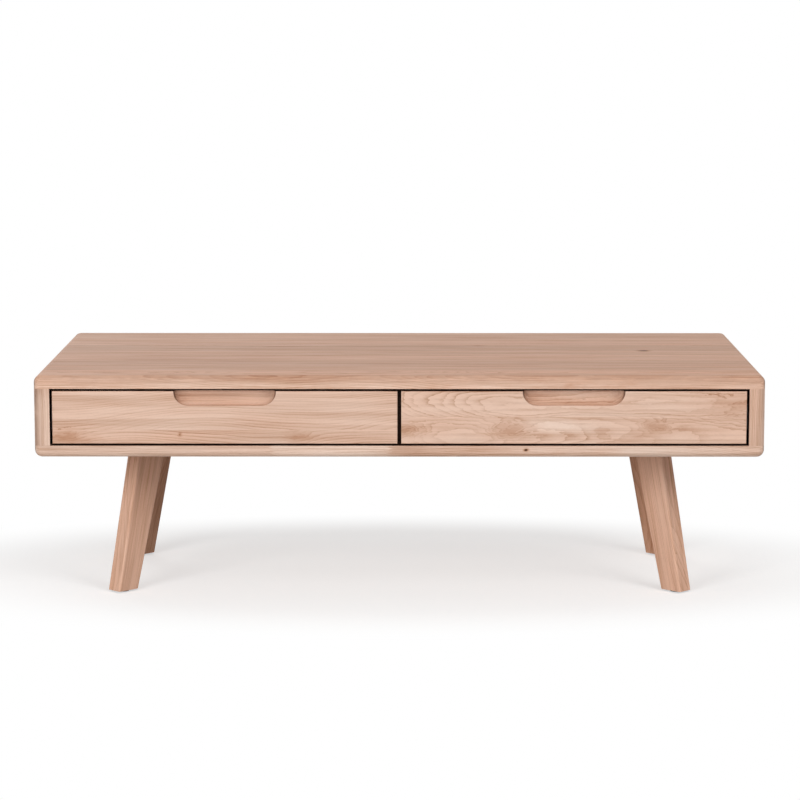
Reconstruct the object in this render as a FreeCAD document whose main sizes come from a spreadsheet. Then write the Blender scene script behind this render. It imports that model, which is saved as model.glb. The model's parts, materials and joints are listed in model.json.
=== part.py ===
"""Oak coffee table: a case with two drawers on ball-bearing slides, on four splayed board legs.

Millimetres, +Z up. The origin is on the floor under the middle of the table.
The drawers open towards -Y, and left and right are as seen from there.
"""
import FreeCAD, Part
import math
import os
import re

import Sketcher
from FreeCAD import Placement, Rotation, Vector

# Driving sizes in millimetres.
SIZES = {
    # Outside of the table.
    "table_width": 1300,
    "table_depth": 650,
    "table_height": 420,
    "corner_radius": 13,  # round corners of the case as seen from the front
    "outline_radius": 10.5,  # rounding along the case's front and rear outlines
    # Case boards.
    "top_thickness": 24,
    "bottom_thickness": 21,
    "side_thickness": 28,
    "divider_thickness": 20,
    "divider_gap": 1.5,  # from the drawer fronts to the divider
    "bay_height": 102,
    "back_thickness": 9,
    "back_recess": 10,
    "back_tongue": 6,  # how far the back reaches into the case boards
    "fit_gap": 0.1,  # play round glued and screwed-in pieces
    # Case dowels.
    "case_dowel_diameter": 8,
    "case_dowel_length": 32,
    "case_dowel_bite": 14,  # length in the top or the bottom
    "case_dowel_margin": 65,  # from a board's end to its first dowel
    # Legs.
    "leg_thickness": 33,
    "leg_top_width": 65,
    "leg_foot_width": 46,
    "leg_splay": 55,  # the foot's outer edge stands this far out from the top's
    "leg_arris_radius": 4,
    "foot_side_inset": 124,  # from the table's end to the foot's outer edge
    "foot_front_inset": 132,
    # Glides nailed under the feet.
    "glide_diameter": 22,
    "glide_tread_diameter": 20,
    "glide_thickness": 3,
    "nail_diameter": 2.4,
    "nail_length": 17,
    "nail_cover": 1,  # plastic under the nail
    # Leg bolts and threaded inserts.
    "bolt_diameter": 8,
    "bolt_spacing": 28,
    "bolt_shift": 4,  # outwards from the middle of the leg's top
    "bolt_bite": 20,  # length in the insert
    "bolt_head_diameter": 14,
    "bolt_head_height": 4.4,
    "bolt_socket_width": 5,
    "bolt_socket_depth": 2.6,
    "bolt_hole_play": 0.5,
    "washer_diameter": 18,
    "washer_thickness": 1.6,
    "insert_diameter": 12,
    "insert_length": 25,
    # Drawer fronts.
    "front_thickness": 22,
    "front_inset": 1,
    "front_side_gap": 4.5,
    "front_centre_gap": 6.5,
    "front_top_gap": 4,
    "front_bottom_gap": 3.5,
    "front_arris_radius": 1,
    # Finger pulls scooped out of the fronts' upper edges.
    "pull_width": 182,
    "pull_height": 26,
    "pull_depth": 12,
    "pull_end_radius": 25,
    "pull_cove_radius": 10,
    # Drawer boxes.
    "box_wall": 12,
    "box_floor_gap": 10,
    "box_ceiling_gap": 16,
    "box_rear_gap": 50,
    "tray_thickness": 6,
    "tray_tongue": 5,  # how far the tray reaches into the box walls
    "tray_lift": 8,  # from the box's lower edge to the tray
    "box_dowel_diameter": 6,
    "box_dowel_length": 26,
    "box_dowel_bite": 8,  # length in the box's side
    "box_dowel_margin": 18,  # from the box's upper and lower edges
    # Cross recess in every wood screw's head.
    "recess_span": 3.6,
    "recess_width": 0.9,
    "recess_depth": 1,
    # Screws that hold the fronts.
    "front_screw_diameter": 4,
    "front_screw_head_diameter": 8,
    "front_screw_head_height": 2.2,
    "front_screw_bite": 14,  # length in the front
    "front_screw_end_margin": 90,
    "front_screw_edge_margin": 20,
    # Slides: cabinet rail, middle rail and drawer rail with balls between them.
    "slide_thickness": 12.7,
    "slide_height": 45,
    "rail_end_gap": 4,  # from the box's ends to the rails'
    "rail_sheet": 1.2,
    "cage_sheet": 0.6,
    "cage_length": 200,
    "cage_end_margin": 15,
    "web_gap": 0.5,
    "ball_diameter": 4,
    "ball_play": 0.1,
    "cage_play": 0.2,  # round each ball in its cage
    "rail_screw_diameter": 3.5,
    "rail_screw_head_diameter": 6,
    "rail_screw_length": 10,
    "rail_screw_margin": 45,
}

# Sizes that follow from the driving ones.
LAYOUT = {
    "front_plane": "-table_depth / 2",
    "bay_ceiling": "table_height - top_thickness",
    "bay_floor": "bay_ceiling - bay_height",
    "case_underside": "bay_floor - bottom_thickness",
    "inner_half": "table_width / 2 - side_thickness",
    "bay_width": "inner_half - divider_thickness / 2",
    "back_rear": "table_depth / 2 - back_recess",
    "back_front": "back_rear - back_thickness",
    "front_rear": "front_plane + front_inset + front_thickness",
    "divider_front": "front_rear + divider_gap",
    "foot_x": "table_width / 2 - foot_side_inset",
    "foot_y": "table_depth / 2 - foot_front_inset",
    "bolt_length": "washer_thickness + bottom_thickness + bolt_bite",
    "front_width": "inner_half - front_side_gap - front_centre_gap / 2",
    "front_height": "bay_height - front_top_gap - front_bottom_gap",
    "front_base": "bay_floor + front_bottom_gap",
    "front_middle": "front_centre_gap / 2 + front_width / 2",
    "box_width": "bay_width - 2 * slide_thickness",
    "box_height": "bay_height - box_floor_gap - box_ceiling_gap",
    "box_length": "back_front - box_rear_gap - front_rear",
    "box_base": "bay_floor + box_floor_gap",
    "box_middle": "divider_thickness / 2 + bay_width / 2",
    "box_inner_width": "box_width - 2 * box_wall",
    "tray_base": "box_base + tray_lift",
    "tray_width": "box_inner_width + 2 * tray_tongue",
    "tray_length": "box_length - 2 * box_wall + 2 * tray_tongue",
    "front_screw_length": "box_wall + front_screw_bite",
    "rail_length": "box_length - 2 * rail_end_gap",
    "rail_middle": "front_rear + box_length / 2",
    "slide_level": "box_base + box_height / 2",
    "race_height": "ball_diameter + 2 * ball_play",
    "outer_cage_web": "rail_sheet + web_gap",
    "middle_web": "outer_cage_web + cage_sheet + web_gap",
    "inner_cage_web": "middle_web + rail_sheet + web_gap",
    "drawer_flange_end": "inner_cage_web + cage_sheet + web_gap",
    "drawer_web": "slide_thickness - rail_sheet",
    "flange_end": "drawer_web - web_gap",
    "ball_line": "inner_cage_web + cage_sheet + ball_diameter / 2 + 2 * cage_play",
    "cabinet_flange": "slide_height / 2",
    "outer_ball_level": "cabinet_flange - rail_sheet - race_height / 2",
    "middle_flange": "outer_ball_level - race_height / 2",
    "inner_ball_level": "middle_flange - rail_sheet - race_height / 2",
    "drawer_flange": "inner_ball_level - race_height / 2",
}

SIDES = {"left": -1, "right": 1}
LEGS = {
    "front_left_leg": (-1, -1),
    "front_right_leg": (1, -1),
    "rear_left_leg": (-1, 1),
    "rear_right_leg": (1, 1),
}
DOWELS_PER_JOINT = 5
SCREWS_PER_RAIL = 3
BALLS_PER_ROW = 6

doc = FreeCAD.newDocument("coffee_table")
nodes = {}


def cell_names(text, own_sheet=None):
    """An expression whose size names are written as their sheets' cells."""

    def cell(match):
        name = match.group(0)
        sheet = "Sizes" if name in SIZES else "Layout"
        return name if sheet == own_sheet else f"{sheet}.{name}"

    return re.sub(r"\b[a-z][a-z_]+\b(?!\()", cell, text)


def make_sheets():
    """One sheet of plain numbers, and one of the sizes that follow from them."""
    sizes = doc.addObject("Spreadsheet::Sheet", "Sizes")
    for row, (name, number) in enumerate(SIZES.items(), 1):
        sizes.set(f"A{row}", str(number))
        sizes.setAlias(f"A{row}", name)
    layout = doc.addObject("Spreadsheet::Sheet", "Layout")
    for row, name in enumerate(LAYOUT, 1):
        layout.setAlias(f"A{row}", name)
    for row, text in enumerate(LAYOUT.values(), 1):
        layout.set(f"A{row}", "=" + cell_names(text, "Layout"))
    doc.recompute()
    return sizes, layout


sizes_sheet, layout_sheet = make_sheets()


def value(name):
    """A size's number, from the sheet that holds it."""
    sheet = sizes_sheet if name in SIZES else layout_sheet
    return float(sheet.get(name))


def bind(item, **texts):
    """Ties an object's properties to expressions of the sizes."""
    for name, text in texts.items():
        item.setExpression(name, cell_names(text))


def move(item, x="0", y="0", z="0"):
    """Ties an object's place to expressions of the sizes."""
    for axis, text in zip("xyz", (x, y, z)):
        item.setExpression(f"Placement.Base.{axis}", cell_names(text))


def near(a, b):
    return abs(a - b) < 0.01


def edges_where(feature, test):
    """The names of the feature's edges whose bounding box passes the test."""
    return [f"Edge{i}" for i, edge in enumerate(feature.Shape.Edges, 1) if test(edge.BoundBox)]


# Shapes that several pieces share.


def box(label, size, corner):
    """A plain board: its X, Y and Z sizes and its lowest corner."""
    item = doc.addObject("Part::Box", label)
    bind(item, Length=size[0], Width=size[1], Height=size[2])
    move(item, *corner)
    return item


def cylinder(label, diameter, height):
    item = doc.addObject("Part::Cylinder", label)
    bind(item, Radius=f"({diameter}) / 2", Height=height)
    return item


def cone(label, lower_diameter, upper_diameter, height):
    item = doc.addObject("Part::Cone", label)
    bind(item, Radius1=f"({lower_diameter}) / 2", Radius2=f"({upper_diameter}) / 2", Height=height)
    return item


def fuse(label, base, tool):
    item = doc.addObject("Part::Fuse", label)
    item.Base = base
    item.Tool = tool
    doc.recompute()
    return item


def compound(label, items):
    item = doc.addObject("Part::Compound", label)
    item.Links = items
    doc.recompute()
    return item


def cut(label, base, tools):
    """The base with the tools taken out of it."""
    item = doc.addObject("Part::Cut", label)
    item.Base = base
    item.Tool = tools[0] if len(tools) == 1 else compound(label + "_cuts", tools)
    doc.recompute()
    if not item.Shape.Volume < base.Shape.Volume:
        raise RuntimeError(f"{label}: the cut took nothing away")
    return item


def copies(label, pattern, places):
    """Separate solids of one pattern, one at each place."""
    doc.recompute()
    solids = []
    for place in places:
        solid = pattern.Shape.copy()
        solid.Placement = place
        solids.append(solid)
    item = doc.addObject("Part::Feature", label)
    item.Shape = Part.makeCompound(solids)
    return item


def extruded(label, outline, length):
    """A body whose outline, in X and Z, runs along Y for the length, half of it each way."""
    body = doc.addObject("PartDesign::Body", label)
    plane = next(f for f in body.Origin.OriginFeatures if f.Role == "XZ_Plane")
    sketch = draw(body, label + "_outline", plane, outline)
    pad = body.newObject("PartDesign::Pad", label + "_pad")
    pad.Profile = sketch
    pad.SideType = "Symmetric"
    bind(pad, Length=length)
    doc.recompute()
    return body, pad


def draw(body, label, plane, outline):
    """A closed sketch of straight lines whose corners are tied to expressions."""
    sketch = body.newObject("Sketcher::SketchObject", label)
    sketch.AttachmentSupport = [(plane, "")]
    sketch.MapMode = "FlatFace"
    count = len(outline)
    turns = [2 * math.pi * i / count for i in range(count)]
    start = [Vector(math.cos(turn), math.sin(turn), 0) for turn in turns]
    for i in range(count):
        sketch.addGeometry(Part.LineSegment(start[i], start[(i + 1) % count]))
    for i in range(count):
        sketch.addConstraint(Sketcher.Constraint("Coincident", i, 2, (i + 1) % count, 1))
    for i, corner in enumerate(outline):
        for kind, text, at in zip(("DistanceX", "DistanceY"), corner, start[i]):
            index = sketch.addConstraint(Sketcher.Constraint(kind, -1, 1, i, 1, at))
            sketch.setExpression(f"Constraints[{index}]", cell_names(text))
    doc.recompute()
    return sketch


def fillet(body, base, edges, radius):
    if not edges:
        raise RuntimeError(f"{body.Label}: no edge to round")
    item = body.newObject("PartDesign::Fillet", body.Label + "_fillet")
    item.Base = (base, edges)
    bind(item, Radius=radius)
    doc.recompute()
    return item


def rectangle(left, right, lower, upper):
    return [(left, lower), (right, lower), (right, upper), (left, upper)]


def spread(first, last, count):
    """Evenly spaced numbers from first to last."""
    return [first + (last - first) * i / (count - 1) for i in range(count)]


def upright(x, y, z):
    return Placement(Vector(x, y, z), Rotation())


def pointing(x, y, z, direction):
    """A place whose own Z axis points in the direction."""
    return Placement(Vector(x, y, z), Rotation(Vector(0, 0, 1), Vector(*direction)))


def flat_screw(label, diameter, head_diameter, head_height, length):
    """A countersunk shape that points along +Z from the top of its head."""
    shank = cylinder(label + "_shank", diameter, length)
    head = cone(label + "_head", head_diameter, diameter, head_height)
    return fuse(label, shank, head)


def recessed(label, blank):
    """A screw with a cross recess in its head."""
    wings = []
    for name, along, across in (("x", "recess_span", "recess_width"), ("y", "recess_width", "recess_span")):
        corner = (f"-{along} / 2", f"-{across} / 2", "0")
        wings.append(box(f"{label}_{name}_wing", (along, across, "recess_depth"), corner))
    doc.recompute()
    return cut(label, blank, [fuse(label + "_recess", *wings)])


# Dowels of the case: where boards stand on one another.


def case_dowel_places(end_play):
    """Places of the dowels' lower ends, or of their holes' with the end play added."""
    margin = value("case_dowel_margin")
    side_ends = (value("front_plane") + margin, -value("front_plane") - margin)
    divider_ends = (value("divider_front") + margin, value("back_front") - margin)
    side_x = value("inner_half") + value("side_thickness") / 2
    ceiling_end = value("bay_ceiling") + value("case_dowel_bite") - value("case_dowel_length")
    floor_end = value("bay_floor") - value("case_dowel_bite")
    places = []
    for x, ends in ((-side_x, side_ends), (0, divider_ends), (side_x, side_ends)):
        for y in spread(*ends, DOWELS_PER_JOINT):
            places += [upright(x, y, z - end_play) for z in (ceiling_end, floor_end)]
    return places


case_dowel = cylinder("case_dowel", "case_dowel_diameter", "case_dowel_length")
nodes["carcass_dowels"] = copies("carcass_dowels", case_dowel, case_dowel_places(0))
case_dowel_hole = cylinder(
    "case_dowel_hole", "case_dowel_diameter + 2 * fit_gap", "case_dowel_length + 2 * fit_gap"
)
case_dowel_holes = copies("carcass_dowel_holes", case_dowel_hole, case_dowel_places(value("fit_gap")))

# Back panel, held in grooves of the case boards.

nodes["back_panel"] = box(
    "back_panel",
    ("2 * (inner_half + back_tongue)", "back_thickness", "bay_height + 2 * back_tongue"),
    ("-(inner_half + back_tongue)", "back_front", "bay_floor - back_tongue"),
)
back_groove = box(
    "back_groove",
    (
        "2 * (inner_half + back_tongue + fit_gap)",
        "back_thickness + 2 * fit_gap",
        "bay_height + 2 * (back_tongue + fit_gap)",
    ),
    (
        "-(inner_half + back_tongue + fit_gap)",
        "back_front - fit_gap",
        "bay_floor - back_tongue - fit_gap",
    ),
)

# Legs: tapered boards that splay towards the table's corners, and what fixes them.


def leg_place(name):
    """The foot's outer edge at floor level, with the leg's own X axis pointing outwards."""
    side, end = LEGS[name]
    turn = Rotation(Vector(0, 0, 1), math.degrees(math.atan2(end, side)))
    return Placement(Vector(side * value("foot_x"), end * value("foot_y"), 0), turn)


def leg_points(outward, level):
    """A place with upright axes at the same point of every leg."""
    points = [leg_place(name).multVec(Vector(outward, 0, level)) for name in LEGS]
    return [upright(*point) for point in points]


def bolt_places(level):
    middle = value("bolt_shift") - value("leg_splay") - value("leg_top_width") / 2
    half = value("bolt_spacing") / 2
    return leg_points(middle - half, level) + leg_points(middle + half, level)


def leg_bolts():
    """Button-head bolts that point down from the inside of the case."""
    shank = cylinder("bolt_shank", "bolt_diameter", "bolt_length")
    head = cylinder("bolt_head", "bolt_head_diameter", "bolt_head_height")
    move(head, z="bolt_length")
    socket = doc.addObject("Part::Prism", "bolt_socket")
    socket.Polygon = 6
    bind(socket, Circumradius="bolt_socket_width / sqrt(3)", Height="bolt_head_height")
    move(socket, z="bolt_length + bolt_head_height - bolt_socket_depth")
    bolt = cut("leg_bolt", fuse("leg_bolt_blank", shank, head), [socket])
    return copies("leg_bolts", bolt, bolt_places(value("case_underside") - value("bolt_bite")))


def leg_washers():
    blank = cylinder("washer_blank", "washer_diameter", "washer_thickness")
    bore = cylinder("washer_bore", "bolt_diameter + 2 * bolt_hole_play", "washer_thickness")
    washer = cut("leg_washer", blank, [bore])
    return copies("leg_washers", washer, bolt_places(value("bay_floor")))


def leg_inserts():
    """Threaded sleeves, flush with the tops of the legs."""
    blank = cylinder("insert_blank", "insert_diameter", "insert_length")
    bore = cylinder("insert_bore", "bolt_diameter + 2 * fit_gap", "insert_length")
    insert = cut("leg_insert", blank, [bore])
    return copies("leg_inserts", insert, bolt_places(value("case_underside") - value("insert_length")))


nodes["leg_bolts"] = leg_bolts()
nodes["leg_washers"] = leg_washers()
nodes["leg_inserts"] = leg_inserts()

insert_hole = cylinder("insert_hole", "insert_diameter + 2 * fit_gap", "insert_length + fit_gap")
insert_holes = copies(
    "insert_holes",
    insert_hole,
    bolt_places(value("case_underside") - value("insert_length") - value("fit_gap")),
)
bolt_hole = cylinder("bolt_hole", "bolt_diameter + 2 * bolt_hole_play", "bottom_thickness")
bolt_holes = copies("bolt_holes", bolt_hole, bolt_places(value("case_underside")))

foot_middle = -value("leg_foot_width") / 2
nail = cylinder("glide_nail", "nail_diameter", "nail_length")
nodes["glide_nails"] = copies("glide_nails", nail, leg_points(foot_middle, value("nail_cover")))
nail_hole = cylinder("nail_hole", "nail_diameter + 2 * fit_gap", "nail_length + fit_gap")
nail_holes = copies("nail_holes", nail_hole, leg_points(foot_middle, value("nail_cover")))
glide = cone("glide", "glide_tread_diameter", "glide_diameter", "glide_thickness")
glides = copies("glide_blanks", glide, leg_points(foot_middle, 0))
nodes["foot_glides"] = cut("foot_glides", glides, [nail_holes])


def leg(name):
    """A tapered board; its top is cut level against the case and its foot level on the glide."""
    outline = [
        ("0", "glide_thickness"),
        ("-leg_splay", "case_underside"),
        ("-leg_splay - leg_top_width", "case_underside"),
        ("-leg_foot_width", "glide_thickness"),
    ]
    body, pad = extruded(name + "_blank", outline, "leg_thickness")
    arrises = edges_where(pad, lambda b: b.ZLength > value("leg_thickness"))
    fillet(body, pad, arrises, "leg_arris_radius")
    body.Placement = leg_place(name)
    side, end = LEGS[name]
    move(body, f"{side} * foot_x", f"{end} * foot_y")
    return cut(name, body, [insert_holes, nail_holes])


for leg_name in LEGS:
    nodes[leg_name] = leg(leg_name)

# Slides. Each runs between a wall of the bay and a side of the drawer box.
# The rails' own X is 0 at the wall and grows towards the drawer; hand is -1 for a wall on the left.


def wall_text(side, hand):
    """Where the bay's wall is: the case's side board, or the divider."""
    return f"{side} * inner_half" if hand == side else f"{side} * divider_thickness / 2"


def wall_x(side, hand):
    return side * (value("inner_half") if hand == side else value("divider_thickness") / 2)


def channel(label, side, hand, web, web_end, flange_end, flange, sheet, length):
    """A C-shaped section: a web, and two flanges whose outer faces are at plus and minus flange."""
    inner = f"{flange} - {sheet}"
    section = [
        (web, f"-({flange})"),
        (flange_end, f"-({flange})"),
        (flange_end, f"-({inner})"),
        (web_end, f"-({inner})"),
        (web_end, inner),
        (flange_end, inner),
        (flange_end, flange),
        (web, flange),
    ]
    outline = [(f"{-hand} * ({x})", z) for x, z in section]
    body, _ = extruded(label, outline, length)
    move(body, wall_text(side, hand), "rail_middle", "slide_level")
    doc.recompute()
    return body


def rail_screw_places(side, hand, depth, into):
    """Heads at the depth from the wall, pointing to the wall (-1) or to the drawer (1)."""
    x = wall_x(side, hand) - hand * depth
    reach = value("rail_length") / 2 - value("rail_screw_margin")
    ends = (value("rail_middle") - reach, value("rail_middle") + reach)
    level = value("slide_level")
    return [pointing(x, y, level, (-hand * into, 0, 0)) for y in spread(*ends, SCREWS_PER_RAIL)]


def ball_places(side, hand, level):
    """Two rows of balls, above and below the middle of the slide."""
    x = wall_x(side, hand) - hand * value("ball_line")
    reach = value("cage_length") / 2 - value("cage_end_margin")
    rows = spread(value("rail_middle") - reach, value("rail_middle") + reach, BALLS_PER_ROW)
    levels = (value("slide_level") - level, value("slide_level") + level)
    return [upright(x, y, z) for y in rows for z in levels]


rail_screw_blank = flat_screw(
    "rail_screw_blank", "rail_screw_diameter", "rail_screw_head_diameter", "rail_sheet", "rail_screw_length"
)
rail_screw = recessed("rail_screw", rail_screw_blank)
rail_screw_hole = flat_screw(
    "rail_screw_hole",
    "rail_screw_diameter + 2 * fit_gap",
    "rail_screw_head_diameter + 2 * fit_gap",
    "rail_sheet",
    "rail_screw_length + fit_gap",
)
ball = doc.addObject("Part::Sphere", "ball")
bind(ball, Radius="ball_diameter / 2")
ball_hole = cylinder("ball_hole", "ball_diameter + 2 * cage_play", "slide_height")

cabinet_screw_places = []
cabinet_screw_holes = {}
for side_name, side in SIDES.items():
    for hand in SIDES.values():
        places = rail_screw_places(side, hand, value("rail_sheet"), -1)
        cabinet_screw_places += places
        holes = copies(f"{side_name}_cabinet_screw_holes", rail_screw_hole, places)
        cabinet_screw_holes[side, hand] = holes
nodes["cabinet_rail_screws"] = copies("cabinet_rail_screws", rail_screw, cabinet_screw_places)


def cages(label, side, web, web_end, flange, level):
    """The two ball cages of one drawer: thin channels with a hole round each ball."""
    items = []
    for hand_name, hand in SIDES.items():
        name = f"{label}_{hand_name}"
        blank = channel(
            name + "_blank", side, hand, web, web_end, "flange_end", flange, "cage_sheet", "cage_length"
        )
        low = value("slide_level") - value("slide_height") / 2
        centres = [place.Base for place in ball_places(side, hand, value(level))]
        hole_places = [upright(centre.x, centre.y, low) for centre in centres[::2]]
        items.append(cut(name, blank, [copies(name + "_holes", ball_hole, hole_places)]))
    return compound(label, items)


def balls(label, side, level):
    places = [place for hand in SIDES.values() for place in ball_places(side, hand, value(level))]
    return copies(label, ball, places)


def slides(side_name, side):
    """Both slides of one drawer, without the rails that are screwed to its box."""
    drawer = f"{side_name}_drawer"
    for hand_name, hand in SIDES.items():
        cabinet_name = f"{drawer}_{hand_name}_cabinet_rail"
        blank = channel(
            cabinet_name + "_blank", side, hand,
            "0", "rail_sheet", "flange_end", "cabinet_flange", "rail_sheet", "rail_length",
        )
        nodes[cabinet_name] = cut(cabinet_name, blank, [cabinet_screw_holes[side, hand]])
        middle_name = f"{drawer}_{hand_name}_middle_rail"
        nodes[middle_name] = channel(
            middle_name, side, hand,
            "middle_web", "middle_web + rail_sheet", "flange_end", "middle_flange", "rail_sheet",
            "rail_length",
        )
    nodes[f"{drawer}_outer_cages"] = cages(
        f"{drawer}_outer_cages", side, "outer_cage_web", "outer_cage_web + cage_sheet",
        "outer_ball_level + cage_sheet / 2", "outer_ball_level",
    )
    nodes[f"{drawer}_outer_balls"] = balls(f"{drawer}_outer_balls", side, "outer_ball_level")
    nodes[f"{drawer}_inner_cages"] = cages(
        f"{drawer}_inner_cages", side, "inner_cage_web", "inner_cage_web + cage_sheet",
        "inner_ball_level + cage_sheet / 2", "inner_ball_level",
    )
    nodes[f"{drawer}_inner_balls"] = balls(f"{drawer}_inner_balls", side, "inner_ball_level")


for side_name, side in SIDES.items():
    slides(side_name, side)

# Case boards. The top and the bottom run the full width over and under the side boards.


def outline_edges(feature, joint_levels):
    """The front and rear outlines' edges, apart from the straight ones at a joint's level."""

    def on_outline(b):
        at_joint = b.ZLength < 0.01 and any(near(b.ZMin, level) for level in joint_levels)
        return b.YLength < 0.01 and near(abs(b.YMin), value("table_depth") / 2) and not at_joint

    return edges_where(feature, on_outline)


def wide_board(label, lower, upper, rounded_level, joint_level, cuts):
    """The top or the bottom: round corners seen from the front, then the rounded outlines."""
    outline = rectangle("-table_width / 2", "table_width / 2", lower, upper)
    body, pad = extruded(label + "_blank", outline, "table_depth")
    level = value(rounded_level)
    corners = edges_where(pad, lambda b: b.YLength > 1 and near(b.ZMin, level) and near(b.ZMax, level))
    rounded = fillet(body, pad, corners, "corner_radius")
    fillet(body, rounded, outline_edges(rounded, [value(joint_level)]), "outline_radius")
    return cut(label, body, cuts)


def side_board(label, side):
    """A side, with its outer front and rear edges rounded to meet the top's and the bottom's."""
    faces = [f"{side} * inner_half", f"{side} * table_width / 2"]
    left, right = faces if side > 0 else faces[::-1]
    outline = rectangle(left, right, "bay_floor", "bay_ceiling")
    body, pad = extruded(label + "_blank", outline, "table_depth")
    outer = side * value("table_width") / 2
    edges = edges_where(pad, lambda b: b.ZLength > 1 and near(b.XMin, outer) and near(b.XMax, outer))
    fillet(body, pad, edges, "outline_radius")
    return cut(label, body, [back_groove, case_dowel_holes, cabinet_screw_holes[side, side]])


nodes["top_panel"] = wide_board(
    "top_panel", "bay_ceiling", "table_height", "table_height", "bay_ceiling",
    [back_groove, case_dowel_holes],
)
nodes["bottom_panel"] = wide_board(
    "bottom_panel", "case_underside", "bay_floor", "case_underside", "bay_floor",
    [back_groove, case_dowel_holes, bolt_holes],
)
for side_name, side in SIDES.items():
    nodes[f"{side_name}_side_panel"] = side_board(f"{side_name}_side_panel", side)

divider_blank = box(
    "divider_blank",
    ("divider_thickness", "back_front - divider_front", "bay_height"),
    ("-divider_thickness / 2", "divider_front", "bay_floor"),
)
nodes["centre_divider"] = cut(
    "centre_divider", divider_blank,
    [case_dowel_holes, cabinet_screw_holes[-1, 1], cabinet_screw_holes[1, -1]],
)

# Drawers: a box with a tray in its grooves, a front screwed on, and a rail on each side.


def drawer_front_blank(label, side):
    """The front with its finger pull: a recess open at the top, with coved ends and floor."""
    half = "front_width / 2"
    body, pad = extruded(label, rectangle(f"-{half}", half, "0", "front_height"), "front_thickness")
    plane = next(f for f in body.Origin.OriginFeatures if f.Role == "XZ_Plane")
    recess = rectangle("-pull_width / 2", "pull_width / 2", "front_height - pull_height", "front_height")
    sketch = draw(body, label + "_pull_outline", plane, recess)
    sketch.setExpression("AttachmentOffset.Base.z", cell_names("front_thickness / 2 - pull_depth"))
    pocket = body.newObject("PartDesign::Pocket", label + "_pull")
    pocket.Profile = sketch
    pocket.Reversed = True
    bind(pocket, Length="pull_depth")
    doc.recompute()
    if not pocket.Shape.Volume < pad.Shape.Volume:
        raise RuntimeError(f"{label}: the finger pull took nothing away")
    face = -value("front_thickness") / 2
    floor = face + value("pull_depth")
    foot = value("front_height") - value("pull_height")
    top = value("front_height")
    ends = edges_where(
        pocket, lambda b: near(b.YMin, face) and near(b.YMax, floor) and near(b.ZMax, foot)
    )
    rounded = fillet(body, pocket, ends, "pull_end_radius")
    floor_edges = edges_where(
        rounded, lambda b: near(b.YMin, floor) and near(b.YMax, floor) and not near(b.ZMin, top)
    )
    coved = fillet(body, rounded, floor_edges, "pull_cove_radius")
    face_edges = edges_where(coved, lambda b: near(b.YMin, face) and near(b.YMax, face))
    fillet(body, coved, face_edges, "front_arris_radius")
    move(body, f"{side} * front_middle", "front_rear - front_thickness / 2", "front_base")
    doc.recompute()
    return body


def front_screw_places(side):
    """Two columns of two screws, their heads in the box and pointing forwards."""
    reach = value("box_width") / 2 - value("front_screw_end_margin")
    low = value("box_base") + value("front_screw_edge_margin")
    high = value("box_base") + value("box_height") - value("front_screw_edge_margin")
    y = value("front_rear") + value("box_wall")
    middle = side * value("box_middle")
    return [pointing(middle + x, y, z, (0, -1, 0)) for x in (-reach, reach) for z in (low, high)]


def box_dowel_places(side, end_play):
    """Dowels through the box's corners, pointing from the sides to the middle."""
    low = value("box_base") + value("box_dowel_margin")
    high = value("box_base") + value("box_height") - value("box_dowel_margin")
    front = value("front_rear") + value("box_wall") / 2
    rear = value("front_rear") + value("box_length") - value("box_wall") / 2
    start = value("box_inner_width") / 2 + value("box_dowel_bite") + end_play
    middle = side * value("box_middle")
    return [
        pointing(middle + hand * start, y, z, (-hand, 0, 0))
        for hand in SIDES.values()
        for y in (front, rear)
        for z in (low, high)
    ]


front_screw_blank = flat_screw(
    "front_screw_blank", "front_screw_diameter", "front_screw_head_diameter", "front_screw_head_height",
    "front_screw_length",
)
front_screw = recessed("front_screw", front_screw_blank)
front_screw_hole = flat_screw(
    "front_screw_hole",
    "front_screw_diameter + 2 * fit_gap",
    "front_screw_head_diameter + 2 * fit_gap",
    "front_screw_head_height",
    "front_screw_length + fit_gap",
)
box_dowel = cylinder("box_dowel", "box_dowel_diameter", "box_dowel_length")
box_dowel_hole = cylinder(
    "box_dowel_hole", "box_dowel_diameter + 2 * fit_gap", "box_dowel_length + 2 * fit_gap"
)


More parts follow.
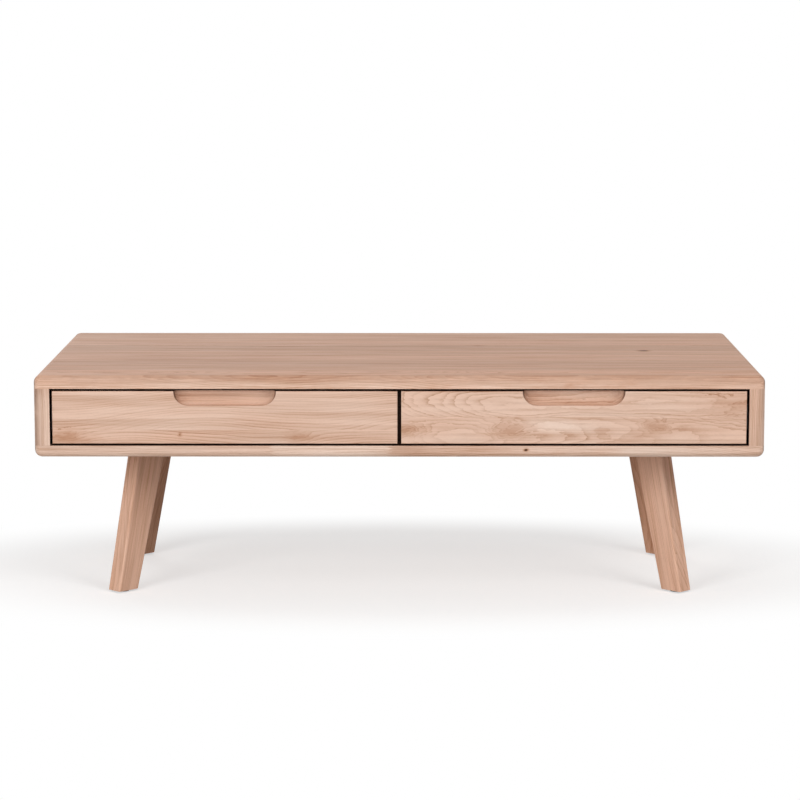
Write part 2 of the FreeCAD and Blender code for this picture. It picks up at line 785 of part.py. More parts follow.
def drawer(side_name, side):
    """One drawer: every piece that moves with its box."""
    name = f"{side_name}_drawer"
    left = f"{side} * box_middle - box_width / 2"
    inner_left = f"{left} + box_wall"
    rear = "front_rear + box_length"

    nodes[f"{name}_front_screws"] = copies(f"{name}_front_screws", front_screw, front_screw_places(side))
    screw_holes = copies(f"{name}_front_screw_holes", front_screw_hole, front_screw_places(side))
    nodes[f"{name}_dowels"] = copies(f"{name}_dowels", box_dowel, box_dowel_places(side, 0))
    dowel_holes = copies(
        f"{name}_dowel_holes", box_dowel_hole, box_dowel_places(side, value("fit_gap"))
    )

    front_blank = drawer_front_blank(f"{name}_front_blank", side)
    nodes[f"{name}_front"] = cut(f"{name}_front", front_blank, [screw_holes])

    nodes[f"{name}_tray"] = box(
        f"{name}_tray",
        ("tray_width", "tray_length", "tray_thickness"),
        (f"{inner_left} - tray_tongue", "front_rear + box_wall - tray_tongue", "tray_base"),
    )
    groove = box(
        f"{name}_tray_groove",
        ("tray_width + 2 * fit_gap", "tray_length + 2 * fit_gap", "tray_thickness + 2 * fit_gap"),
        (
            f"{inner_left} - tray_tongue - fit_gap",
            "front_rear + box_wall - tray_tongue - fit_gap",
            "tray_base - fit_gap",
        ),
    )
    end_size = ("box_inner_width", "box_wall", "box_height")
    inner_front = box(f"{name}_inner_front_blank", end_size, (inner_left, "front_rear", "box_base"))
    nodes[f"{name}_inner_front"] = cut(
        f"{name}_inner_front", inner_front, [groove, dowel_holes, screw_holes]
    )
    back = box(f"{name}_back_blank", end_size, (inner_left, f"{rear} - box_wall", "box_base"))
    nodes[f"{name}_back"] = cut(f"{name}_back", back, [groove, dowel_holes])

    side_size = ("box_wall", "box_length", "box_height")
    rail_screw_list = []
    for hand_name, hand in SIDES.items():
        places = rail_screw_places(side, hand, value("drawer_web"), 1)
        rail_screw_list += places
        holes = copies(f"{name}_{hand_name}_rail_screw_holes", rail_screw_hole, places)
        x = left if hand < 0 else f"{left} + box_width - box_wall"
        blank = box(f"{name}_{hand_name}_side_blank", side_size, (x, "front_rear", "box_base"))
        side_label = f"{name}_{hand_name}_side"
        nodes[side_label] = cut(side_label, blank, [groove, dowel_holes, holes])
        rail_label = f"{name}_{hand_name}_drawer_rail"
        rail_blank = channel(
            rail_label + "_blank", side, hand,
            "slide_thickness", "drawer_web", "drawer_flange_end", "drawer_flange", "rail_sheet",
            "rail_length",
        )
        nodes[rail_label] = cut(rail_label, rail_blank, [holes])
    nodes[f"{name}_rail_screws"] = copies(f"{name}_rail_screws", rail_screw, rail_screw_list)


for side_name, side in SIDES.items():
    drawer(side_name, side)


def write_parts():
    """Checks every object and writes each node's solids to its own file."""
    doc.recompute()
    failed = [item.Label for item in doc.Objects if {"Invalid", "Error"} & set(item.State)]
    if failed:
        raise RuntimeError(f"these objects failed: {failed}")
    for name, item in nodes.items():
        item.Label = name
        if item.Shape.isNull() or not item.Shape.isValid() or not item.Shape.Solids:
            raise RuntimeError(f"{name} has no valid solid")
    os.makedirs("parts", exist_ok=True)
    for name, item in nodes.items():
        item.Shape.exportStep(f"parts/{name}.step")
        box_size = item.Shape.BoundBox
        print(f"{name}: {len(item.Shape.Solids)} solids, {item.Shape.Volume / 1000:.1f} cm3,",
              f"{box_size.XLength:.1f} x {box_size.YLength:.1f} x {box_size.ZLength:.1f}")


write_parts()
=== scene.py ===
# %% [markdown]
# # An oak coffee table with two drawers
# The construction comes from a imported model: every board, rail, ball and screw is already there, at
# its real size and in metres. This lesson dresses it. It makes a camera, a white studio, and one
# procedural finish for each kind of surface, with a cut of oak of its own for every board.

# %% Load the table
import json
import math

import bpy
import numpy as np
from mathutils import Matrix, Vector


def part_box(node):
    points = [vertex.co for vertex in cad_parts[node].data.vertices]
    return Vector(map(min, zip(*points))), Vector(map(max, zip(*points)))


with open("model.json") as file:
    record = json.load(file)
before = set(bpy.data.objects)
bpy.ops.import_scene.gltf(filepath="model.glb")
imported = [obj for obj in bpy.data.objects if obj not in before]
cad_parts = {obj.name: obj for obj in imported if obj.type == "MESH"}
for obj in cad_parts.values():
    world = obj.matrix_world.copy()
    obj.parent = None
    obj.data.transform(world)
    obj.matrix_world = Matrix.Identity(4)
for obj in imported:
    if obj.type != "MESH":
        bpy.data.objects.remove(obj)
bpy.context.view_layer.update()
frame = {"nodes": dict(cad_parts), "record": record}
MM = 0.001
X, Y, Z = Vector((1, 0, 0)), Vector((0, 1, 0)), Vector((0, 0, 1))

# %% [markdown]
# ## Camera
# The photograph was taken from well in front of the table and a little above it, with a long lens. A
# lens could be guessed by eye, but its place, tilt and focal length follow from the table's own
# edges: lines that meet in the distance give the tilt, and the width of the top's rear edge against
# its front one gives the distance. The camera is turned down instead of shifted, so every other view
# stays centred too.

# %% Camera
CAMERA_PLACE = (0.0145, -5.341, 1.093)
CAMERA_TILT = 0.1419
CAMERA_YAW = 0.00265
LENS_MM = 128.4

camera_data = bpy.data.cameras.new("studio_camera")
camera_data.lens = LENS_MM
camera = bpy.data.objects.new("studio_camera", camera_data)
camera.location = CAMERA_PLACE
camera.rotation_euler = (math.pi / 2 - CAMERA_TILT, 0, CAMERA_YAW)
bpy.context.scene.collection.objects.link(camera)
bpy.context.scene.camera = camera
bpy.context.scene.view_settings.view_transform = "Standard"
print("camera looks", round(math.degrees(CAMERA_TILT), 1), "degrees down with", LENS_MM, "mm")

# %% [markdown]
# ## Colours and nodes
# Colours are written as the sRGB hex values that an eye would pick from a screen, and one function
# turns them into the linear values that light adds up in. Materials are built from nodes by one small
# function that makes a node, sets its options, and gives each input a number or a link.

# %% Helpers for colours and nodes
def linear(hex_colour):
    """sRGB hex to linear RGBA: v / 12.92 up to 0.04045, and ((v + 0.055) / 1.055) ** 2.4 above it."""
    srgb = np.array([int(hex_colour[i:i + 2], 16) for i in (1, 3, 5)]) / 255
    rgb = np.where(srgb <= 0.04045, srgb / 12.92, ((srgb + 0.055) / 1.055) ** 2.4)
    return (*rgb.tolist(), 1.0)


def add_node(tree, kind, inputs=None, **settings):
    """Adds a shader node and returns its outputs; an input takes a value or another node's output."""
    node = tree.nodes.new("ShaderNode" + kind)
    for name, setting in settings.items():
        setattr(node, name, setting)
    for key, given in (inputs or {}).items():
        if isinstance(given, bpy.types.NodeSocket):
            tree.links.new(given, node.inputs[key])
        else:
            node.inputs[key].default_value = given
    return node.outputs


def new_material(name):
    """An empty node material and its tree."""
    material = bpy.data.materials.new(name)
    material.use_nodes = True
    material.node_tree.nodes.clear()
    return material, material.node_tree


print("middle oak in linear values:", [round(v, 3) for v in linear("#D8B49D")])

# %% [markdown]
# ## Studio
# A white paper floor runs to the horizon and a white world closes it. If the paper were lit until it
# clipped, the oak would be overlit too. So rays from the camera see a floor that glows a little by
# itself: under the table the soft shadow stays, and further out the paper fades to plain white.
# Glossy and transmitted rays see the same floor and world, so steel mirrors the white room. From
# below, the paper is clear, which lets a camera look at the underside.

# %% Background paper
BOUNCE = 0.50
SEEN = 0.62
GLOW = 0.505
SHADOW_PLACE = (0, 0.02, 0)
SHADOW_REACH = (1.15, 0.60, 1)
FADE_END = 0.4


def seen_directly(tree):
    """1 for rays from the camera, from a glossy bounce or through glass, and 0 for other rays."""
    path = add_node(tree, "LightPath")
    direct = path["Is Camera Ray"]
    for other in ("Is Glossy Ray", "Is Transmission Ray"):
        direct = add_node(tree, "Math", {0: direct, 1: path[other]}, operation="MAXIMUM")[0]
    return direct


# Matt paper has no highlight: the eye sees only the table's soft shadow on it.
paper, tree = new_material("white_background_paper")
bounce = add_node(tree, "BsdfDiffuse", {"Color": (BOUNCE, BOUNCE, BOUNCE, 1)})
seen = add_node(tree, "BsdfDiffuse", {"Color": (SEEN, SEEN, SEEN, 1)})
glow = add_node(tree, "Emission", {"Strength": GLOW})
lifted = add_node(tree, "AddShader", {0: seen[0], 1: glow[0]})
plain = add_node(tree, "Emission", {"Strength": 1.0})
space = add_node(tree, "TexCoord")["Object"]
oval = add_node(tree, "Mapping", {"Vector": space, "Location": SHADOW_PLACE, "Scale": SHADOW_REACH},
                vector_type="TEXTURE")[0]
near = add_node(tree, "TexGradient", {0: oval}, gradient_type="SPHERICAL")["Fac"]
near = add_node(tree, "MapRange", {0: near, 2: FADE_END}, interpolation_type="SMOOTHSTEP")[0]
faded = add_node(tree, "MixShader", {0: near, 1: plain[0], 2: lifted[0]})
above = add_node(tree, "MixShader", {0: seen_directly(tree), 1: bounce[0], 2: faded[0]})
under = add_node(tree, "NewGeometry")["Backfacing"]
clear = add_node(tree, "BsdfTransparent")
sided = add_node(tree, "MixShader", {0: under, 1: above[0], 2: clear[0]})
add_node(tree, "OutputMaterial", {"Surface": sided[0]})
print("paper fades to white", SHADOW_REACH[0], "m to the side of the table's middle")

# %% [markdown]
# The sheet is one large square at the level of the feet. It isn't a part of the table, and it is
# large enough that its edge never shows.

# %% Floor sheet
FLOOR_HALF = 60.0

floor_mesh = bpy.data.meshes.new("floor")
corners = np.array([(-1, -1, 0), (1, -1, 0), (1, 1, 0), (-1, 1, 0)]) * FLOOR_HALF
floor_mesh.from_pydata(corners.tolist(), [], [(0, 1, 2, 3)])
floor_mesh.materials.append(paper)
floor = bpy.data.objects.new("floor", floor_mesh)
bpy.context.scene.collection.objects.link(floor)
print("floor", 2 * FLOOR_HALF, "m wide")

# %% [markdown]
# The world is the walls and ceiling of the studio. It lights the table softly from all sides, at a
# level of its own, while a ray that looks straight at it sees white.

# %% White world
AMBIENT = 0.37
WHITE = (1, 1, 1, 1)

world = bpy.data.worlds.new("white_studio")
world.use_nodes = True
tree = world.node_tree
tree.nodes.clear()
soft = add_node(tree, "Background", {"Color": WHITE, "Strength": AMBIENT})
bright = add_node(tree, "Background", {"Color": WHITE, "Strength": 1.0})
mixed = add_node(tree, "MixShader", {0: seen_directly(tree), 1: soft[0], 2: bright[0]})
add_node(tree, "OutputWorld", {"Surface": mixed[0]})
bpy.context.scene.world = world
print("ambient level", AMBIENT)

# %% [markdown]
# ## Light
# In the photograph the drawer fronts are brighter than the top, faces that look left are a little
# brighter than those that look right, and the case shades the top of the left leg's right-hand face
# most. That is a pair of soft boxes in front of the table: a low one on the left, and a weaker,
# higher one on the right. A third, weak one behind the table opens up the shaded back, and hardly
# shows from the front.

# %% Soft boxes
SOFT_BOXES = {
    "left_soft_box": {"place": (-2.56, -4.1, 1.6), "size": 2.0, "power": 114},
    "right_soft_box": {"place": (2.72, -3.25, 2.55), "size": 2.0, "power": 78},
    "rear_soft_box": {"place": (-1.9, 4.0, 3.2), "size": 2.0, "power": 34},
}
AIM = Vector((0, 0, 0.3))

for name, box in SOFT_BOXES.items():
    light = bpy.data.lights.new(name, "AREA")
    light.size = box["size"]
    light.energy = box["power"]
    lamp = bpy.data.objects.new(name, light)
    lamp.location = box["place"]
    lamp.rotation_euler = (AIM - Vector(box["place"])).to_track_quat("-Z", "Y").to_euler()
    bpy.context.scene.collection.objects.link(lamp)
    print(name, light.energy, "W")

# %% [markdown]
# ## Growth rings
# A board is a slice of a log, so its figure is drawn in space and not on the surface: the rings are
# nested tubes round the pith, and a face shows straight lines, arches or end-grain arcs only because
# of the way it cuts them. That costs more nodes than a stripe pattern, but the lines run on round
# every edge. Coordinates are millimetres along the grain, across it and into the board. The pith
# leans against the board, wanders along the log and ripples, and knots swell the rings outwards.

# %% Distance from the pith
WANDER = 18
WANDER_EVERY = 500
RIPPLE = 3
RIPPLE_SIZE = (120, 32, 32)


def pith_distance(group, given, local):
    """Distance in mm to the pith line y = z = 0, shifted by up to WANDER and RIPPLE and by the lean."""
    along = add_node(group, "SeparateXYZ", {0: local})[0]
    pace = add_node(group, "Math", {0: along, 1: 1 / WANDER_EVERY}, operation="MULTIPLY")[0]
    wander = add_node(group, "TexNoise", {"W": pace, "Scale": 1, "Detail": 1}, noise_dimensions="1D")
    wander = add_node(group, "VectorMath", {0: wander["Color"], 1: (0, 2 * WANDER, 2 * WANDER),
                                            2: (0, -WANDER, -WANDER)}, operation="MULTIPLY_ADD")[0]
    sized = add_node(group, "Mapping", {"Vector": local, "Scale": RIPPLE_SIZE}, vector_type="TEXTURE")[0]
    ripple = add_node(group, "TexNoise", {"Vector": sized, "Scale": 1, "Detail": 5, "Roughness": 0.6})
    ripple = add_node(group, "VectorMath", {0: ripple["Color"], 1: (0, 2 * RIPPLE, 2 * RIPPLE),
                                            2: (0, -RIPPLE, -RIPPLE)}, operation="MULTIPLY_ADD")[0]
    ripple = add_node(group, "VectorMath", {0: ripple, "Scale": given["Ripple"]}, operation="SCALE")[0]
    sink = add_node(group, "Math", {0: along, 1: given["Lean"]}, operation="MULTIPLY")[0]
    sink = add_node(group, "CombineXYZ", {"Z": sink})[0]
    bent = local
    for shift in (wander, ripple, sink):
        bent = add_node(group, "VectorMath", {0: bent, 1: shift}, operation="ADD")[0]
    bent = add_node(group, "VectorMath", {0: bent, 1: (0, 1, 1)}, operation="MULTIPLY")[0]
    return add_node(group, "VectorMath", {0: bent}, operation="LENGTH")["Value"]


print("the pith wanders by", WANDER, "mm and ripples by", RIPPLE, "mm")

# %% [markdown]
# Each ring starts with a band of open pores, dark and sharp, and fades into dense wood. A wave would
# give lines that are soft on both sides, so the fraction of the ring's number is used: it jumps once
# a year. Years differ, so a slow noise shifts the rings' widths, and every ring has a strength of its
# own.

# %% Ring lines
YEARS_ALIKE = 5
RING_DRIFT = 2.5
FAINTEST_RING = 0.35
LINE_POWER = 3.0


def ring_lines(group, distance, ring):
    """The dark part of each ring, 0 to 1, for rings about as wide as ring, in mm.

    With n = distance / ring + RING_DRIFT * noise and f its fraction, a ring's line is
    (1 - f) ** LINE_POWER times a random strength of its own: 1 where the pores start, then falling off
    through the year.
    """
    years = add_node(group, "Math", {0: distance, 1: 1 / (YEARS_ALIKE * ring)}, operation="MULTIPLY")[0]
    drift = add_node(group, "TexNoise", {"W": years, "Scale": 1, "Detail": 1},
                     noise_dimensions="1D")["Fac"]
    number = add_node(group, "Math", {0: distance, 1: 1 / ring}, operation="MULTIPLY")[0]
    number = add_node(group, "Math", {0: drift, 1: RING_DRIFT, 2: number}, operation="MULTIPLY_ADD")[0]
    fraction = add_node(group, "Math", {0: number}, operation="FRACT")[0]
    year = add_node(group, "Math", {0: number}, operation="FLOOR")[0]
    strength = add_node(group, "TexWhiteNoise", {"W": year}, noise_dimensions="1D")["Value"]
    strength = add_node(group, "MapRange", {0: strength, "To Min": FAINTEST_RING, "To Max": 1.0})[0]
    late = add_node(group, "Math", {0: 1.0, 1: fraction}, operation="SUBTRACT")[0]
    line = add_node(group, "Math", {0: late, 1: LINE_POWER}, operation="POWER")[0]
    return add_node(group, "Math", {0: line, 1: strength}, operation="MULTIPLY")[0]


print("half way through a year, a line has faded to", 0.5 ** LINE_POWER)

# %% [markdown]
# ## Fibres, patches and pores
# Between the rings there is finer and coarser structure, all of it long along the grain: fibres,
# bands of denser wood, hand-sized patches where the rings fade and the hue changes, and the pores
# themselves, short dark scratches that crowd into the early wood and leave the surface a little open.
# One noise, stretched to a size in millimetres for each kind, draws them all. Single fibres are too
# fine to show, so they are drawn as bundles 2 mm wide. Pores keep the size of oak's large ones: they
# show from close by, and from afar they only darken the early wood.

# %% Streaks along the grain
STREAKS = {
    "fibre": {"size": (110, 2.0, 2.0), "detail": 3},
    "band": {"size": (380, 12, 12), "detail": 1.5},
    "patch": {"size": (170, 30, 30), "detail": 1.5},
    "pore": {"size": (6, 0.35, 0.35), "detail": 1.5},
}
STREAK_ROUGHNESS = 0.55
PORE_PEAK = (0.56, 0.68)
LATE_PORES = 0.25


def streaks(group, local):
    """Noise from 0 to 1 for each kind of streak, stretched to its size in mm."""
    made = {}
    for kind, streak in STREAKS.items():
        sized = add_node(group, "Mapping", {"Vector": local, "Scale": streak["size"]},
                         vector_type="TEXTURE")[0]
        noise = {"Vector": sized, "Scale": 1, "Detail": streak["detail"], "Roughness": STREAK_ROUGHNESS}
        made[kind] = add_node(group, "TexNoise", noise)["Fac"]
    return made


def pores_in(group, noise, line):
    """Open pores: the peaks of the noise, four times as many in a ring's dark line as beside it."""
    peak = add_node(group, "MapRange", {0: noise, 1: PORE_PEAK[0], 2: PORE_PEAK[1]})[0]
    crowd = add_node(group, "MapRange", {0: line, "To Min": LATE_PORES, "To Max": 1.0})[0]
    return add_node(group, "Math", {0: peak, 1: crowd}, operation="MULTIPLY")[0]


print("streaks in mm:", {kind: streak["size"][:2] for kind, streak in STREAKS.items()})

# %% [markdown]
# ## From figure to colour
# The lines and streaks add up to one darkness, which mixes a pale and a dark tone of the wood. A
# colour for every kind of streak could be laid over the others, but one mix of two tones stays as
# calm as oiled oak is. Then come the stave's own tone and its warmth, which takes green and blue
# away.

# %% Bare wood
LEAST_SHADE = 0.06
STREAK_MEAN = 0.47
BAND_DEPTH = 1.6
PATCH_WARMTH = 1.2
WARM_TINT = (1.0, 0.89, 0.82, 1)


def bare_wood(group, given, wood, line, streak):
    """(pale + (dark - pale) * clamp(ring line + fibre + band)) * the tint for its warmth * tone."""
    shade = add_node(group, "Math", {0: line, 1: wood["ring_depth"], 2: LEAST_SHADE},
                     operation="MULTIPLY_ADD")[0]
    for kind, depth in (("fibre", given["Fibre"]), ("band", BAND_DEPTH)):
        part = add_node(group, "Math", {0: streak[kind], 1: -STREAK_MEAN}, operation="ADD")[0]
        shade = add_node(group, "Math", {0: part, 1: depth, 2: shade}, operation="MULTIPLY_ADD")[0]
    colour = add_node(group, "Mix", {0: shade, 6: linear(wood["pale"]), 7: linear(wood["dark"])},
                      data_type="RGBA")[2]
    warmth = add_node(group, "Math", {0: streak["patch"], 1: PATCH_WARMTH, 2: given["Warmth"]},
                      operation="MULTIPLY_ADD")[0]
    warmth = add_node(group, "Math", {0: warmth, 1: -PATCH_WARMTH / 2}, operation="ADD")[0]
    tint = add_node(group, "Mix", {0: warmth, 6: WHITE, 7: WARM_TINT}, data_type="RGBA",
                    clamp_factor=False)[2]
    colour = add_node(group, "VectorMath", {0: colour, 1: tint}, operation="MULTIPLY")[0]
    return add_node(group, "VectorMath", {0: colour, "Scale": given["Tone"]}, operation="SCALE")[0]


print("warm wood keeps", WARM_TINT[1], "of its green and", WARM_TINT[2], "of its blue")

# %% [markdown]
# Pores are a darker brown, and knots are reddish round about and nearly black in the middle.
# Finishing changes wood too: end grain drinks oil and darkens, and sanded edges turn paler. Crevices
# get painted shade, dark brown where little light reaches. Light bouncing between the faces of a hollow
# is filtered each time, which a power of the colour paints as shade: hollows turn redder as they darken.

# %% Pores, knots and finish
RED_HEART = 0.7
BLACK_HEART = (0.55, 0.95)
END_GRAIN = (0.7, 0.95)
END_TONE = 0.5
SANDED_TONE = 1.1
HOLLOW_POWER = 2.3
HOLLOW_SHADE_SPAN = (0.15, 0.7)
HOLLOW_SHADE_COLOUR = "#3E3025"


def marked(group, given, wood, colour, pores):
    """Mixes in the pores, then a knot's red surround, then its black middle."""
    dark = add_node(group, "Math", {0: pores, 1: wood["pore_depth"]}, operation="MULTIPLY")[0]
    red = add_node(group, "MapRange", {0: given["Heart"], 2: RED_HEART})[0]
    black = add_node(group, "MapRange", {0: given["Heart"], 1: BLACK_HEART[0], 2: BLACK_HEART[1]})[0]
    for share, hue in ((dark, "pore"), (red, "heart"), (black, "knot")):
        colour = add_node(group, "Mix", {0: share, 6: colour, 7: linear(wood[hue])}, data_type="RGBA")[2]
    return colour


def finished(group, given, colour):
    """(colour * end grain * edge) ** p * shade colour: painted shade, with p from 1 in the open to
    HOLLOW_POWER in a hollow.
    """
    oiled = add_node(group, "MapRange", {0: given["End"], 1: END_GRAIN[0], 2: END_GRAIN[1],
                                         "To Min": 1.0, "To Max": END_TONE})[0]
    sanded = add_node(group, "MapRange", {0: given["Edge"], "To Min": 1.0, "To Max": SANDED_TONE})[0]
    for finish in (oiled, sanded):
        colour = add_node(group, "VectorMath", {0: colour, "Scale": finish}, operation="SCALE")[0]
    # Painted shade: the colour's power grows where the surface is closed in, as light bounced in a
    # hollow would.
    between = add_node(group, "MapRange", {0: given["Open"], "To Min": HOLLOW_POWER, "To Max": 1.0})[0]
    colour = add_node(group, "Gamma", {"Color": colour, "Gamma": between})[0]
    # Painted shade: the colour turns dark brown where the crevice mask says little light reaches.
    unshaded = add_node(group, "MapRange", {0: given["Open"], 1: HOLLOW_SHADE_SPAN[0], 2: HOLLOW_SHADE_SPAN[1]})[0]
    painted_shade = add_node(group, "Mix", {0: unshaded, 6: linear(HOLLOW_SHADE_COLOUR), 7: WHITE}, data_type="RGBA")[2]
    return add_node(group, "VectorMath", {0: colour, 1: painted_shade}, operation="MULTIPLY")[0]


print("end grain keeps", END_TONE, "of its light, and a sanded edge has", SANDED_TONE, "times as much")

# %% [markdown]
# ## A log as a node group
# One group holds all of that for a kind of wood, and every board's material uses it with its own
# place in the log. Oak has wide open pores and an even, pinkish brown; the pine of the drawer boxes
# is yellower, has stronger rings and hardly any pores. An oiled surface scatters the light, more on
# fibres and in pores.

# %% Oak and pine
WOODS = {
    "oak": {"ring": 2.9, "pale": "#E3C2AE", "dark": "#BA9075", "pore": "#8A6347", "heart": "#A8724D",
            "knot": "#3E281B", "ring_depth": 0.95, "pore_depth": 0.45},
    "pine": {"ring": 2.6, "pale": "#E6CFB3", "dark": "#D0AE88", "pore": "#C79F74", "heart": "#A8744A",
             "knot": "#5A3A22", "ring_depth": 0.75, "pore_depth": 0.10},
}
LOG_INPUTS = {"Grain": "Vector", "Pith": "Vector", "Lean": "Float", "Ripple": "Float", "Fibre": "Float",
              "Swell": "Float", "Heart": "Float", "Tone": "Float", "Warmth": "Float", "End": "Float",
              "Edge": "Float", "Open": "Float"}
PATCH_SPAN = (0.35, 0.65)
PATCH_LINES = (0.4, 1.1)
OIL_ROUGHNESS = 0.50
PORE_ROUGHNESS = 0.16
FIBRE_ROUGHNESS = 0.14
LINE_RELIEF = 0.35


def log_figure(name, wood):
    """A node group that gives colour, roughness and relief at a place in a log."""
    group = bpy.data.node_groups.new(name, "ShaderNodeTree")
    for label, kind in LOG_INPUTS.items():
        group.interface.new_socket(label, in_out="INPUT", socket_type="NodeSocket" + kind)
    for label, kind in (("Color", "Color"), ("Roughness", "Float"), ("Relief", "Float")):
        group.interface.new_socket(label, in_out="OUTPUT", socket_type="NodeSocket" + kind)
    given = group.nodes.new("NodeGroupInput").outputs
    local = add_node(group, "VectorMath", {0: given["Grain"], 1: given["Pith"]}, operation="SUBTRACT")[0]
    distance = pith_distance(group, given, local)
    distance = add_node(group, "Math", {0: distance, 1: given["Swell"]}, operation="ADD")[0]
    streak = streaks(group, local)
    fade = add_node(group, "MapRange", {0: streak["patch"], 1: PATCH_SPAN[0], 2: PATCH_SPAN[1],
                                        "To Min": PATCH_LINES[0], "To Max": PATCH_LINES[1]})[0]
    line = ring_lines(group, distance, wood["ring"])
    line = add_node(group, "Math", {0: line, 1: fade}, operation="MULTIPLY")[0]
    pores = pores_in(group, streak["pore"], line)
    colour = bare_wood(group, given, wood, line, streak)
    colour = marked(group, given, wood, colour, pores)
    colour = finished(group, given, colour)
    rough = add_node(group, "Math", {0: pores, 1: PORE_ROUGHNESS, 2: OIL_ROUGHNESS},
                     operation="MULTIPLY_ADD")[0]
    rough = add_node(group, "Math", {0: streak["fibre"], 1: FIBRE_ROUGHNESS, 2: rough},
                     operation="MULTIPLY_ADD")[0]
    relief = add_node(group, "Math", {0: line, 1: LINE_RELIEF, 2: pores}, operation="MULTIPLY_ADD")[0]
    relief = add_node(group, "Math", {0: relief, 1: -1.0}, operation="MULTIPLY")[0]
    taken = group.nodes.new("NodeGroupOutput").inputs
    for label, output in (("Color", colour), ("Roughness", rough), ("Relief", relief)):
        group.links.new(output, taken[label])
    return group


LOGS = {name: log_figure(f"{name}_log", wood) for name, wood in WOODS.items()}
print({name: len(log.nodes) for name, log in LOGS.items()}, "nodes")

# %% [markdown]
# ## Staves
# A wide board is several staves glued side by side, each from another log, so tone and figure jump at
# the glue lines. Where the eye can't tell one place of the pith from another, it is drawn from a
# seeded generator, which gives the same table on every run.

# %% One stave
PITH_ASIDE = 90
PITH_DEEP = (60, 180)
PITH_REACH = 400.0
USUAL_LEAN = 0.02
LOG_SEED = 7
rng = np.random.default_rng(LOG_SEED)


def stave(width, tone=1.0, warmth=0.3, pith=None, lean=None):
    """One stave: its width in mm, its look, and its pith's place from its middle, across and deep."""
    if pith is None:
        pith = (rng.uniform(-PITH_ASIDE, PITH_ASIDE), rng.choice((-1, 1)) * rng.uniform(*PITH_DEEP))
    if lean is None:
        lean = rng.uniform(-USUAL_LEAN, USUAL_LEAN)
    return {"width": width, "tone": tone, "warmth": warmth, "pith": pith, "lean": lean,
            "shift": rng.uniform(-PITH_REACH, PITH_REACH)}


print("pith within", PITH_REACH, "mm of a board's middle")

# %% [markdown]
# A node for each stave would make the materials large. A colour ramp with constant steps holds one
# stop per stave instead: it turns the place across the board into that stave's tone, warmth and lean,
# and a second ramp into the place of its pith. A stop holds numbers from 0 to 1, so each value is
# packed into that range.

# %% Stave ramps
TONE_REACH = 2.0
WARMTH_REACH = 2.0
LEAN_REACH = 0.1


def packed(value, reach):
    """A value from -reach to reach as a share from 0 to 1."""
    return value / reach / 2 + 0.5


def stave_ramps(tree, across, staves):
    """Two stepped ramps over a board's width, from 0 to 1: (tone, warmth, lean) and the pith's place."""
    total = sum(s["width"] for s in staves)
    place = add_node(tree, "MapRange", {0: across, 1: -total / 2, 2: total / 2})[0]
    starts = np.cumsum([0] + [s["width"] for s in staves])[:-1]
    looks, piths = [], []
    for start, s in zip(starts, staves):
        middle = start + s["width"] / 2 - total / 2
        point = np.array([s["shift"], middle + s["pith"][0], s["pith"][1]])
        looks.append((s["tone"] / TONE_REACH, packed(s["warmth"], WARMTH_REACH),
                      packed(s["lean"], LEAN_REACH), 1))
        piths.append((*packed(point, PITH_REACH).tolist(), 1))
    outputs = []
    for colours in (looks, piths):
        ramp = tree.nodes.new("ShaderNodeValToRGB")
        ramp.color_ramp.interpolation = "CONSTANT"
        stops = ramp.color_ramp.elements
        stops.remove(stops[1])
        stops[0].color = colours[0]
        for start, colour in zip(starts[1:], colours[1:]):
            stops.new(start / total).color = colour
        tree.links.new(place, ramp.inputs[0])
        outputs.append(ramp.outputs["Color"])
    return outputs


print("a lean of", USUAL_LEAN, "is packed as", packed(USUAL_LEAN, LEAN_REACH))

# %% [markdown]
# ## Finger joints and marks
# Where staves are too short, two lengths meet in a finger joint, whose teeth show as a zigzag on the
# edge. The joint is a mask along the board that passes from one set of ramps to the next. A knot is a
# soft ellipsoid with a ragged outline. It swells the rings, so that lines flow round it, and its
# middle is stained. A streak of heartwood or sapwood is an ellipsoid too, a very long one that only
# changes the tone and the warmth. Both kinds are marks that a board takes as a list.

# %% Joints and marks
TOOTH_PITCH = 5.5
TOOTH_LENGTH = 11.0
RAG = 0.45
RAG_SIZE = (28, 10, 10)


def jointed_ramps(tree, grain, lengths, joints):
    """Ramps of the first length, then those of the next ones past each joint's place along the board.

    The joint's edge lies at place - 2 * TOOTH_LENGTH / TOOTH_PITCH * pingpong(depth, TOOTH_PITCH / 2).
    """
    along, across, depth = add_node(tree, "SeparateXYZ", {0: grain})
    looks, piths = stave_ramps(tree, across, lengths[0])
    for place, staves in zip(joints, lengths[1:]):
        tooth = add_node(tree, "Math", {0: depth, 1: TOOTH_PITCH / 2}, operation="PINGPONG")[0]
        edge = add_node(tree, "Math", {0: tooth, 1: 2 * TOOTH_LENGTH / TOOTH_PITCH, 2: along},
                        operation="MULTIPLY_ADD")[0]
        past = add_node(tree, "Math", {0: edge, 1: place}, operation="GREATER_THAN")[0]
        next_looks, next_piths = stave_ramps(tree, across, staves)
        looks = add_node(tree, "Mix", {0: past, 6: looks, 7: next_looks}, data_type="RGBA")[2]
        piths = add_node(tree, "Mix", {0: past, 6: piths, 7: next_piths}, data_type="RGBA")[2]
    return looks, piths


